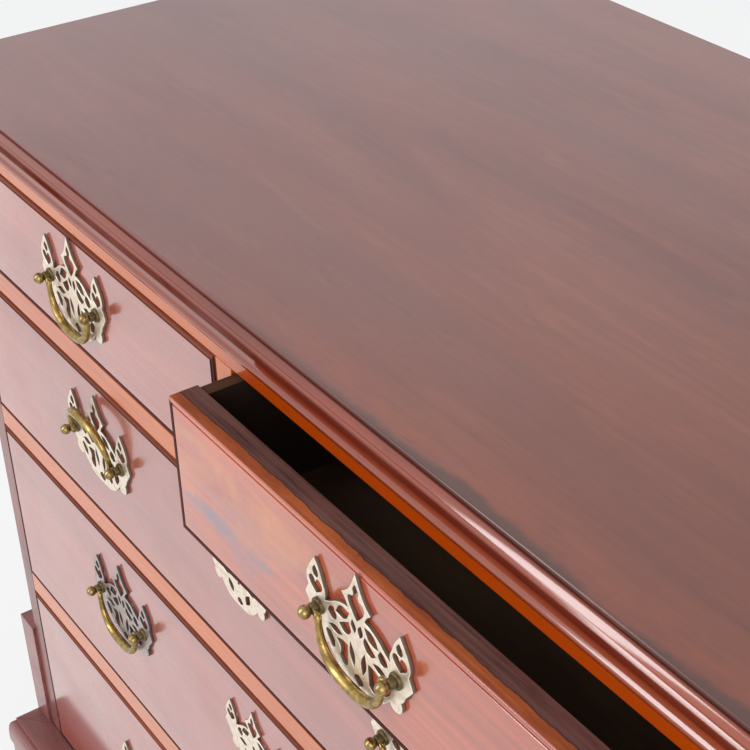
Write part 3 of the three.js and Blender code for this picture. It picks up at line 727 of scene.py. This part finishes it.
def bead_rings():
    """Cross-section of the bead round a drawer front and the quirk inside it."""
    rings = [(0.0, -BEAD_ROUND)]
    for angle in map(math.radians, BEAD_STEPS):
        rings.append((BEAD_ROUND * (1 - math.cos(angle)), BEAD_ROUND * (math.sin(angle) - 1)))
    for angle in map(math.radians, BEAD_STEPS):
        edge = BEAD_WIDTH - BEAD_ROUND
        rings.append((edge + BEAD_ROUND * math.sin(angle), BEAD_ROUND * (math.cos(angle) - 1)))
    quirk_end = BEAD_WIDTH + QUIRK_WIDTH
    rings += [(BEAD_WIDTH, -QUIRK_DEPTH), (quirk_end, -QUIRK_DEPTH)]
    return rings + [(quirk_end + inset, rise) for inset, rise in QUIRK_LIP]


def drawer_front(label, kind):
    node = f"drawer_front_{label}"
    mesh = finished_mesh(node + "_fine", ring_slab(*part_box(node), bead_rings()), WOOD_SMOOTH_DEGREES)
    # The bead is painted shade: dark on the bottom and sides, less dark along the top of a closed front; the open
    # drawer's top bead keeps its front's wood
    upper = "mahogany_figured" if kind == "mahogany_figured" else "upper_bead_painted_shade"
    for look in (kind, "front_edge", "bead_painted_shade", upper):
        mesh.materials.append(wood_for(look, 0))
    add_piece(node + "_fine", mesh, node)


# Ornament outlines, in millimetres from the middle between the posts
PLATE_HALF = [
    (0, 48, "cusp"), (3, 41, "soft"), (5.8, 35.5, "soft"), (9.5, 31, "soft"), (14, 27.2, "cusp"), (10.2, 23.5, "soft"),
    (7.8, 19.2, "cusp"), (13, 18.4, "soft"), (20.5, 15.2, "soft"), (27, 10.6, "soft"), (31.8, 7.8, "cusp"),
    (31.2, 12.5, "soft"), (33.2, 18, "soft"), (36.2, 25.5, "soft"), (41.2, 33, "cusp"), (44.8, 27.5, "soft"),
    (48.8, 20.5, "soft"), (50.2, 14.5, "soft"), (48.6, 9, "cusp"), (50.5, 5.5, "soft"), (52.3, 1.5, "cusp"),
    (49, -3.2, "soft"), (45.2, -8, "cusp"), (43.6, -12, "soft"), (41, -15, "cusp"), (42, -19, "soft"),
    (40.5, -23, "soft"), (36, -25, "soft"), (32, -23.8, "soft"), (30.4, -21.5, "cusp"), (25.5, -27, "soft"),
    (18, -32.6, "soft"), (10, -35, "soft"), (0, -35.2, "soft"),
]
PLATE_RISE = 48 * MM
ESCUTCHEON_SCALE = 0.8
ESCUTCHEON_RISE = 39 * MM
ESCUTCHEON_THICKNESS = 2.2 * MM


def turned(points, x, z, degrees):
    spin = math.radians(degrees)
    cos, sin = math.cos(spin), math.sin(spin)
    return [(x + px * cos - pz * sin, z + px * sin + pz * cos, kind) for px, pz, kind in points]


def leaf(x, z, length, width, degrees=0.0, belly=0.0):
    """A pointed opening; belly shifts its widest place along its length."""
    widest = belly * length
    sides = [(length, 0, "cusp"), (widest, width, "soft"), (-length, 0, "cusp"), (widest, -width, "soft")]
    return turned(sides, x, z, degrees)


def drop(x, z, length, width, degrees=0.0):
    """A round end and a pointed one."""
    widest = -0.25 * length
    sides = [(length, 0, "cusp"), (widest, width, "soft"), (-length, 0, "soft"), (widest, -width, "soft")]
    return turned(sides, x, z, degrees)


def heart(x, z, width, height):
    return turned([
        (0, 0.42 * height, "cusp"), (0.42 * width, height, "soft"), (width, 0.35 * height, "soft"),
        (0, -height, "cusp"),
        (-width, 0.35 * height, "soft"), (-0.42 * width, height, "soft"),
    ], x, z, 0.0)


def both_sides(shape):
    return [shape, [(-x, z, kind) for x, z, kind in shape]]


SPIRE_HOLE = [
    (0, 40.5, "cusp"), (2.8, 36, "soft"), (2.4, 31.8, "soft"), (7.6, 28.6, "soft"), (7.6, 24.6, "soft"),
    (4.4, 19.6, "soft"), (0, 14.6, "cusp"), (-4.4, 19.6, "soft"), (-7.6, 24.6, "soft"), (-7.6, 28.6, "soft"),
    (-2.4, 31.8, "soft"), (-2.8, 36, "soft"),
]
FORK_HOLE = [(7.8, 8.6, "cusp"), (12.2, 5.6, "soft"), (18.2, 1.4, "cusp"), (12, -2.2, "soft"), (6.2, 2.6, "soft")]
NECK_HOLE = [
    (22.8, 9.3, "cusp"), (27.2, 7.2, "soft"), (29.4, 2.6, "cusp"), (24, -0.2, "soft"), (20.2, 3.6, "soft"),
]
WING_HOLE = [
    (9.8, -9.4, "cusp"), (15, -9.6, "soft"), (21.5, -12, "cusp"), (18.4, -15.2, "soft"), (17.2, -19, "soft"),
    (18.4, -23.2, "soft"), (14.6, -27.4, "soft"), (10.6, -25.5, "cusp"), (10, -17, "soft"),
]
SHOULDER_HOLE = [
    (27, -11, "cusp"), (31.5, -12, "soft"), (30.5, -17, "cusp"), (24.5, -21.5, "soft"), (23, -15.5, "cusp"),
]
SIDE_HOLES = [
    *both_sides(leaf(14, 11.6, 8.2, 4.1, -30)), *both_sides(NECK_HOLE),
    *both_sides(drop(40.6, 23.4, 4.4, 3.0, 90)), *both_sides(heart(40.8, 12.8, 6.8, 5.6)),
]
PLATE_HOLES = [
    SPIRE_HOLE, leaf(0, -28.9, 4.2, 4.6, 90), *SIDE_HOLES, *both_sides(leaf(3.3, 8.8, 5.0, 2.5, 80)),
    *both_sides(FORK_HOLE), *both_sides(WING_HOLE), *both_sides(SHOULDER_HOLE),
    *both_sides(leaf(21.5, -6, 7.4, 2.7, -4)), *both_sides(leaf(5.6, -13.4, 9.2, 2.6, 81)),
]
KEYHOLE = [
    (-1.5, -10.5, "cusp"), (1.5, -10.5, "cusp"), (1.4, -2.6, "cusp"), (3.0, 0.2, "soft"), (0, 3.0, "soft"),
    (-3.0, 0.2, "soft"), (-1.4, -2.6, "cusp"),
]
ESCUTCHEON_HOLES = [
    SPIRE_HOLE, leaf(0, -28.8, 4.2, 4.6, 90), KEYHOLE, *SIDE_HOLES,
    *both_sides(leaf(20.5, -6, 8.0, 3.2, -4)), *both_sides(leaf(14, -19.0, 8.0, 4.0, 62)),
]


def mirrored_outline(half):
    return half + [(-x, z, kind) for x, z, kind in half[-2:0:-1]]


def ornament_mesh(name, outline, holes, thickness, ease, scale=1.0):
    """A pierced plate with softened edges, its back at Y 0 and its face towards -Y."""
    curve = bpy.data.curves.new(name, "CURVE")
    curve.dimensions = "2D"
    curve.fill_mode = "BOTH"
    curve.resolution_u = ORNAMENT_CURVE_STEPS
    for points in [outline, *holes]:
        spline = curve.splines.new("BEZIER")
        spline.bezier_points.add(len(points) - 1)
        spline.use_cyclic_u = True
        for knot, (x, z, kind) in zip(spline.bezier_points, points):
            knot.co = (x * scale, z * scale, 0)
            knot.handle_left_type = knot.handle_right_type = "VECTOR" if kind == "cusp" else "AUTO"
    curve.extrude = (thickness / 2 - ease) / MM
    curve.bevel_depth = ease / MM
    curve.bevel_resolution = ORNAMENT_EDGE_STEPS
    curve.offset = -ease / MM
    holder = linked(bpy.data.objects.new(name, curve))
    bpy.context.view_layer.update()
    mesh = bpy.data.meshes.new_from_object(holder.evaluated_get(bpy.context.evaluated_depsgraph_get()))
    bpy.data.objects.remove(holder)
    upright = Matrix.Rotation(math.pi / 2, 4, "X") @ Matrix.Scale(MM, 4)
    mesh.transform(Matrix.Translation((0, -thickness / 2, 0)) @ upright)
    bm = bmesh.new()
    bm.from_mesh(mesh)
    bpy.data.meshes.remove(mesh)
    bmesh.ops.remove_doubles(bm, verts=bm.verts, dist=ORNAMENT_MERGE_DISTANCE)
    return finished_mesh(name, bm, BRASS_SMOOTH_DEGREES)


def lathe(bm, profile, x):
    """Turns (radius, distance) points about an axis that runs along -Y through x."""
    rings = []
    for radius, along in profile:
        if radius == 0:
            rings.append([bm.verts.new((x, -along, 0))])
            continue
        angles = [2 * math.pi * i / LATHE_STEPS for i in range(LATHE_STEPS)]
        rings.append([bm.verts.new((x + radius * math.cos(a), -along, radius * math.sin(a))) for a in angles])
    for first, second in zip(rings, rings[1:]):
        for i in range(LATHE_STEPS):
            j = (i + 1) % LATHE_STEPS
            corners = [first[i % len(first)], first[j % len(first)], second[j % len(second)], second[i % len(second)]]
            face = [v for k, v in enumerate(corners) if v not in corners[:k]]
            bm.faces.new(face)


def post_profile():
    """Radius and distance from the plate's back along a post: collar, shaft, neck and ball."""
    collar_top = PLATE_THICKNESS + COLLAR_HEIGHT
    profile = [(0, PLATE_THICKNESS / 2), (COLLAR_RADIUS, PLATE_THICKNESS / 2)]
    swell = COLLAR_HEIGHT / 2
    for angle in map(math.radians, COLLAR_STEPS):
        height = collar_top - swell + swell * math.sin(angle)
        profile.append((COLLAR_RADIUS - swell * (1 - math.cos(angle)), height))
    profile.append((POST_RADIUS, collar_top))
    neck = BALL_HEIGHT - math.sqrt(BALL_RADIUS ** 2 - NECK_RADIUS ** 2)
    profile += [(POST_RADIUS - inset, neck - below) for inset, below in NECK_STEPS]
    start = -math.acos(NECK_RADIUS / BALL_RADIUS)
    for i in range(BALL_TURNS):
        angle = start + (math.pi / 2 - start) * i / BALL_TURNS
        profile.append((BALL_RADIUS * math.cos(angle), BALL_HEIGHT + BALL_RADIUS * math.sin(angle)))
    profile.append((0, BALL_HEIGHT + BALL_RADIUS))
    return profile


def posts_mesh():
    bm = bmesh.new()
    for side in (-1, 1):
        lathe(bm, post_profile(), side * POST_SPACING / 2)
    return finished_mesh("posts", bm, BRASS_SMOOTH_DEGREES)


def bail_path(t):
    """Centre of the hoop at a share t of its way from one end to the other."""
    angle = math.pi * t
    power = 2 / BAIL_SQUARENESS
    across = math.copysign(abs(math.cos(angle)) ** power, math.cos(angle))
    return Vector((-BAIL_HALF_WIDTH * across, 0, -BAIL_DROP * abs(math.sin(angle)) ** power))


def bail_spine():
    """Centres and radii along a bail: out of one post, round the hoop and into the other post."""
    end = [(Vector((-across, 0, 0)), PIN_RADIUS) for across in (POST_SPACING / 2, BAIL_HALF_WIDTH + PIN_CORNER)]
    for degrees in PIN_STEPS:
        angle = math.radians(degrees)
        out, down = PIN_CORNER * (1 - math.sin(angle)), PIN_CORNER * (1 - math.cos(angle))
        radius = PIN_RADIUS + (BAIL_END_RADIUS * PIN_SWELL - PIN_RADIUS) * degrees / PIN_STEPS[-1]
        end.append((Vector((-BAIL_HALF_WIDTH - out, 0, -down)), radius))
    hoop = []
    for i in range(2, BAIL_STEPS - 1):
        centre = bail_path(i / BAIL_STEPS)
        swell = (-centre.z / BAIL_DROP) ** 2
        if centre.z < -PIN_CORNER * HOOP_START_SHARE:
            hoop.append((centre, BAIL_END_RADIUS + (BAIL_MIDDLE_RADIUS - BAIL_END_RADIUS) * swell))
    return end + hoop + [(Vector((-c.x, c.y, c.z)), r) for c, r in reversed(end)]


def bail_mesh():
    spine = bail_spine()
    bm = bmesh.new()
    rings = []
    sideways = Vector((0, 1, 0))
    for i, (centre, radius) in enumerate(spine):
        before, _ = spine[max(i - 1, 0)]
        after, _ = spine[min(i + 1, len(spine) - 1)]
        outward = (after - before).normalized().cross(sideways).normalized()
        angles = [2 * math.pi * k / BAIL_SIDES for k in range(BAIL_SIDES)]
        rings.append([bm.verts.new(centre + radius * (math.cos(a) * outward + math.sin(a) * sideways)) for a in angles])
    for first, second in zip(rings, rings[1:]):
        for k in range(BAIL_SIDES):
            j = (k + 1) % BAIL_SIDES
            bm.faces.new((first[k], first[j], second[j], second[k]))
    bm.faces.new(rings[0])
    bm.faces.new(rings[-1])
    return finished_mesh("bail", bm, BAIL_SMOOTH_DEGREES)


def place_brass(name, mesh, place, node, turn=0.0):
    """Puts a brass piece at its seat, turned by some degrees about X."""
    piece = add_piece(name, mesh, node)
    piece.location = place
    piece.rotation_euler = Euler((math.radians(turn), 0, 0))


def add_brass():
    plate = ornament_mesh("plate", mirrored_outline(PLATE_HALF), PLATE_HOLES, PLATE_THICKNESS, PLATE_EASE)
    key = ornament_mesh("key_plate", mirrored_outline(PLATE_HALF), ESCUTCHEON_HOLES, ESCUTCHEON_THICKNESS,
                        PLATE_EASE, ESCUTCHEON_SCALE)
    dull_plate = plate.copy()
    posts = posts_mesh()
    hoop = bail_mesh()
    plate_look = plate_brass()
    looks = ((plate, plate_look), (key, plate_look), (dull_plate, dull_brass()), (posts, post_brass()),
             (hoop, bail_brass()))
    for mesh, look in looks:
        mesh.materials.append(look)
    for node in sorted(nodes):
        low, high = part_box(node)
        middle = (low.x + high.x) / 2
        if node.startswith("pull_plate_"):
            seat = Vector((middle, high.y, high.z - PLATE_RISE))
            place_brass(f"{node}_fine", dull_plate if node == DULL_PLATE else plate, seat, node)
            place_brass(f"{node}_posts", posts, seat, node)
        if node.startswith("escutcheon_"):
            place_brass(f"{node}_fine", key, Vector((middle, high.y, high.z - ESCUTCHEON_RISE)), node)
    for joint in frame["joints"]:
        node = joint["child"]
        if node.startswith("bail_"):
            low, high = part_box(node)
            hinge = Vector(joint["pos_m"])
            hangs = hinge.z - low.z > high.z - hinge.z
            place_brass(f"{node}_fine", hoop, hinge, node, 0.0 if hangs else RAISED_BAIL_TURN)


# Carcase and drawers
BOARDS = {
    "top_board": ("mahogany_top", 0, TOP_EASE),
    "top_rail": ("mahogany_top_rail", 0, BOARD_EASE),
    "rail_below_upper": ("mahogany_rail", 0, BOARD_EASE),
    "rail_below_second": ("mahogany_rail", 0, BOARD_EASE),
    "rail_below_third": ("mahogany_rail", 0, BOARD_EASE),
    "centre_divider": ("mahogany_rail", 2, BOARD_EASE),
    "side_left": ("mahogany_base", 2, BOARD_EASE),
    "side_right": ("mahogany_base", 2, BOARD_EASE),
    "back_board": ("plain_softwood", 2, BOARD_EASE),
    "bottom_board": ("plain_softwood", 0, BOARD_EASE),
    "centre_guide": ("plain_softwood", 1, BOARD_EASE),
    "dust_panel_upper": ("plain_softwood", 0, BOARD_EASE),
    "dust_panel_second": ("plain_softwood", 0, BOARD_EASE),
    "dust_panel_third": ("plain_softwood", 0, BOARD_EASE),
    "top_moulding_front": ("mahogany_moulding", 0, MOULDING_EASE),
    "top_moulding_left": ("mahogany_moulding", 1, MOULDING_EASE),
    "top_moulding_right": ("mahogany_moulding", 1, MOULDING_EASE),
    "base_moulding_front": ("mahogany_base", 0, BASE_EASE),
    "base_moulding_left": ("mahogany_base", 1, BASE_EASE),
    "base_moulding_right": ("mahogany_base", 1, BASE_EASE),
    "plinth_board_left": ("mahogany_base", 1, BASE_EASE),
    "plinth_board_right": ("mahogany_base", 1, BASE_EASE),
    "foot_front_left": ("mahogany_base", 0, FOOT_EASE),
    "foot_front_right": ("mahogany_base", 0, FOOT_EASE),
    "foot_back_left": ("mahogany_base", 0, FOOT_EASE),
    "foot_back_right": ("mahogany_base", 0, FOOT_EASE),
}
FRONTS = {
    "upper_left": "mahogany_upper", "upper_right": "mahogany_figured", "second": "mahogany_show",
    "third": "mahogany_show", "lowest": "mahogany_show",
}


def add_wood():
    for node, (kind, along, ease) in BOARDS.items():
        eased_node(node, kind, along, ease)
    for label, kind in FRONTS.items():
        drawer_front(label, kind)
        # Drawer boxes in a near-black lining, painted shade, with its lighter lit copy on the faces that look up
        eased_node(f"drawer_box_{label}", "drawer_lining", 1, upper="lining_lit_edge")
        eased_node(f"drawer_bottom_{label}", "plain_softwood", 0)


# Floor, light and camera
def add_floor():
    """A pale floor that looks white in the background and in the polish."""
    mesh = bpy.data.meshes.new("floor")
    corners = [(x * FLOOR_HALF, y * FLOOR_HALF, 0) for x, y in ((-1, -1), (1, -1), (1, 1), (-1, 1))]
    mesh.from_pydata(corners, [], [(0, 1, 2, 3)])
    tree = Tree("studio_floor")
    diffuse = tree.add("ShaderNodeBsdfDiffuse", {"Color": (*FLOOR_GREY, 1.0)})
    glow = tree.add("ShaderNodeEmission", {"Color": (*WHITE, 1.0), "Strength": 1.0})
    path = tree.add("ShaderNodeLightPath")
    seen = tree.math("MULTIPLY", path.outputs["Is Camera Ray"], FLOOR_GLOW_SEEN)
    share = tree.math("MAXIMUM", seen, path.outputs["Is Glossy Ray"])
    shader = tree.add("ShaderNodeMixShader", {0: share, 1: diffuse.outputs[0], 2: glow.outputs[0]})
    mesh.materials.append(tree.finish(shader))
    tree.material.cycles.emission_sampling = "NONE"
    linked(bpy.data.objects.new("floor", mesh))


def add_world():
    """A soft sky that looks white in the background and in the polish."""
    world = bpy.data.worlds.new("studio")
    bpy.context.scene.world = world
    world.use_nodes = True
    tree = world.node_tree
    tree.nodes.clear()
    output = tree.nodes.new("ShaderNodeOutputWorld")
    path = tree.nodes.new("ShaderNodeLightPath")
    soft = tree.nodes.new("ShaderNodeBackground")
    soft.inputs["Color"].default_value = (*SKY_COLOUR, 1.0)
    soft.inputs["Strength"].default_value = SKY_STRENGTH
    white = tree.nodes.new("ShaderNodeBackground")
    white.inputs["Strength"].default_value = 1.0
    white.inputs["Color"].default_value = (*WHITE, 1.0)
    mix = tree.nodes.new("ShaderNodeMixShader")
    seen = tree.nodes.new("ShaderNodeMath")
    seen.operation = "MAXIMUM"
    tree.links.new(path.outputs["Is Camera Ray"], seen.inputs[0])
    tree.links.new(path.outputs["Is Glossy Ray"], seen.inputs[1])
    tree.links.new(seen.outputs[0], mix.inputs[0])
    tree.links.new(soft.outputs[0], mix.inputs[1])
    tree.links.new(white.outputs[0], mix.inputs[2])
    tree.links.new(mix.outputs[0], output.inputs["Surface"])


def add_lamp(name, place, target, size, power):
    light = bpy.data.lights.new(name, "AREA")
    light.shape = "RECTANGLE"
    light.size, light.size_y = size
    light.energy = power
    lamp = linked(bpy.data.objects.new(name, light))
    lamp.location = place
    lamp.rotation_euler = (Vector(target) - Vector(place)).to_track_quat("-Z", "Y").to_euler()


def add_camera():
    azimuth, elevation, roll = map(math.radians, (CAMERA_AZIMUTH, CAMERA_ELEVATION, CAMERA_ROLL))
    level = math.cos(elevation)
    forward = Vector((-math.sin(azimuth) * level, math.cos(azimuth) * level, -math.sin(elevation)))
    right = forward.cross(Vector((0, 0, 1))).normalized()
    down = forward.cross(right)
    rolled_right = math.cos(roll) * right - math.sin(roll) * down
    rolled_down = math.sin(roll) * right + math.cos(roll) * down
    data = bpy.data.cameras.new("camera")
    data.sensor_width = SENSOR_MM
    data.lens = FOCAL_PX / IMAGE_PX * SENSOR_MM
    data.shift_x = (IMAGE_PX / 2 - CENTRE_PX[0]) / IMAGE_PX
    data.shift_y = (CENTRE_PX[1] - IMAGE_PX / 2) / IMAGE_PX
    camera = linked(bpy.data.objects.new("camera", data))
    turn = Matrix((rolled_right, -rolled_down, -forward)).transposed()
    place = Vector((CAMERA_RIGHT, front_plane - CAMERA_FORWARD, top_height + CAMERA_OVER_TOP))
    camera.matrix_world = Matrix.Translation(place) @ turn.to_4x4()
    bpy.context.scene.camera = camera


add_wood()
add_brass()
add_floor()
add_world()
for name, lamp in LAMPS.items():
    add_lamp(name, *lamp)
add_camera()
bpy.context.scene.view_settings.view_transform = "Standard"
